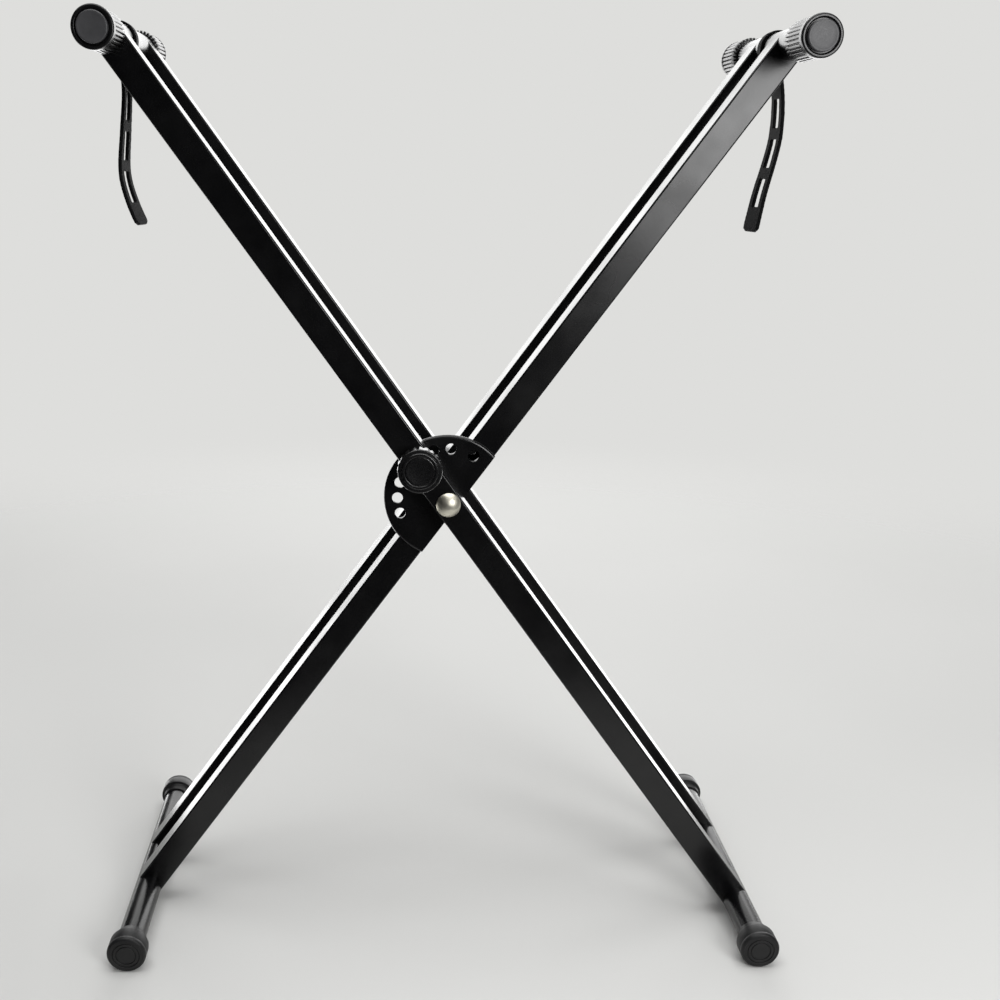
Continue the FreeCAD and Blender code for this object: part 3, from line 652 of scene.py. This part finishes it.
# %% Floor that fades into the backdrop
floor_shell = bmesh.new()
bmesh.ops.create_grid(floor_shell, x_segments=8, y_segments=8, size=2.4)
floor_mesh = bpy.data.meshes.new("studio_floor")
floor_shell.to_mesh(floor_mesh)
floor_shell.free()
floor = bpy.data.objects.new("studio_floor", floor_mesh)
bpy.context.scene.collection.objects.link(floor)
floor_paint, tree, shader, where = start_material("pale_floor", "#d4d4d2", roughness=0.85)
clouds = spread(tree, grains(tree, where, 900.0), 0, 1)
tree.links.new(blend_colours(tree, clouds, "#d2d2d0", "#d8d8d6"), shader.inputs["Base Color"])
reach = add_node(tree, "ShaderNodeVectorMath", {0: where}, operation="LENGTH").outputs["Value"]
fade = add_node(tree, "ShaderNodeMapRange", {"Value": reach, "From Min": 0.75, "From Max": 2.2},
                interpolation_type="SMOOTHSTEP").outputs["Result"]
clear = add_node(tree, "ShaderNodeBsdfTransparent").outputs["BSDF"]
faded = add_node(tree, "ShaderNodeMixShader", {0: fade, 1: shader.outputs["BSDF"], 2: clear})
tree.links.new(faded.outputs["Shader"], tree.nodes["Material Output"].inputs["Surface"])
floor_mesh.materials.append(floor_paint)

world = bpy.data.worlds.new("studio")
bpy.context.scene.world = world
world.use_nodes = True
tree = world.node_tree
tree.nodes.clear()
path = add_node(tree, "ShaderNodeLightPath").outputs
seen = path["Is Camera Ray"]
for ray in ("Is Glossy Ray", "Is Transmission Ray"):
    seen = add_node(tree, "ShaderNodeMath", {0: seen, 1: path[ray]}, operation="MAXIMUM").outputs[0]
fill = add_node(tree, "ShaderNodeBackground", {"Color": linear("#ffffff"), "Strength": 0.25})
backdrop = add_node(tree, "ShaderNodeBackground", {"Color": linear("#dededc"), "Strength": 1.0})
both = add_node(tree, "ShaderNodeMixShader", {0: seen, 1: fill.outputs[0], 2: backdrop.outputs[0]})
add_node(tree, "ShaderNodeOutputWorld", {"Surface": both.outputs[0]})


# %% Dark drapes
drape_cloth, tree, shader, where = start_material("black_drape", "#08080a", roughness=0.95)


def hang_drape(name, section, start, turn, middle_x=0.0):
    """A strip of cloth round the stand, in metres, from a section of (distance, height)."""
    shell = bmesh.new()
    across, along = math.cos(start), math.sin(start)
    line = [shell.verts.new((middle_x + across * r, along * r, z)) for r, z in section]
    edges = [shell.edges.new(pair) for pair in zip(line, line[1:])]
    bmesh.ops.spin(
        shell, geom=line + edges, cent=(middle_x, 0, 0), axis=(0, 0, 1), angle=turn, steps=48)
    mesh = bpy.data.meshes.new(name)
    shell.to_mesh(mesh)
    shell.free()
    mesh.materials.append(drape_cloth)
    drape = bpy.data.objects.new(name, mesh)
    bpy.context.scene.collection.objects.link(drape)
    drape.visible_camera = drape.visible_diffuse = False
    drape.visible_shadow = drape.visible_transmission = False


hang_drape("drape_round", ((2.6, 0.0), (2.6, 3.2)), math.radians(118), math.radians(274))
hang_drape("drape_floor", ((0.6, 0.004), (2.6, 0.004)), math.radians(180), math.radians(180), 0.2)


# %% Lights
def soft_light(name, place, target, width, height, radiance):
    """A rectangular light that gives the same radiance whatever its size."""
    lamp = bpy.data.lights.new(name, "AREA")
    lamp.shape = "RECTANGLE"
    lamp.size = width
    lamp.size_y = height
    lamp.energy = radiance * math.pi * width * height
    holder = bpy.data.objects.new(name, lamp)
    bpy.context.scene.collection.objects.link(holder)
    holder.location = place
    holder.rotation_euler = (Vector(target) - Vector(place)).to_track_quat("-Z", "Y").to_euler()
    holder.visible_camera = False
    return holder


LIGHTS = (  # name, place, target, width, height, radiance
    ("overhead", (0.0, -0.1, 2.5), (0, 0, 0), 2.4, 1.8, 2.9),
    ("front_right_card", (0.72, -1.3, 0.86), (0.2, -0.05, 0.7), 0.6, 0.62, 10.5),
    ("rear_panel", (0.33, 2.4, 0.95), (0.33, 0, 0.95), 2.95, 1.8, 2.4),
    ("floor_panel", (0.1, 1.30, 0.006), (0.1, 1.30, 3.0), 3.0, 2.2, 3.1),
)
for light in LIGHTS:
    soft_light(*light)
print("lights", len(LIGHTS))

# %% [markdown]
# The camera stands where the photograph was taken. Its tilt, turn, roll, lens and place come from a
# least-squares fit to the legs' edges and the round ends in the photograph.

# %% Camera at the photograph's place
PITCH, YAW, ROLL = (math.radians(a) for a in (16.933, 1.479, 0.530))
CAMERA_PLACE = (-0.05818, -1.1056, 0.71071)
ahead = Vector((math.sin(YAW) * math.cos(PITCH), math.cos(YAW) * math.cos(PITCH), -math.sin(PITCH)))
level = Vector((math.cos(YAW), -math.sin(YAW), 0.0))
upward = level.cross(ahead)
right = math.cos(ROLL) * level + math.sin(ROLL) * upward
up = -math.sin(ROLL) * level + math.cos(ROLL) * upward
lens = bpy.data.cameras.new("camera")
lens.sensor_width = 36.0
lens.lens = 43.497
lens.shift_x = 0.08732
lens.shift_y = 0.03417
camera = bpy.data.objects.new("camera", lens)
bpy.context.scene.collection.objects.link(camera)
turn = Matrix((right, up, -ahead)).transposed().to_4x4()
camera.matrix_world = Matrix.Translation(CAMERA_PLACE) @ turn
bpy.context.scene.camera = camera
bpy.context.scene.view_settings.view_transform = "Standard"

# %% [markdown]
# ## End
# The dressed stand has to stay inside the imported stand's box.

# %% End of the script
import json
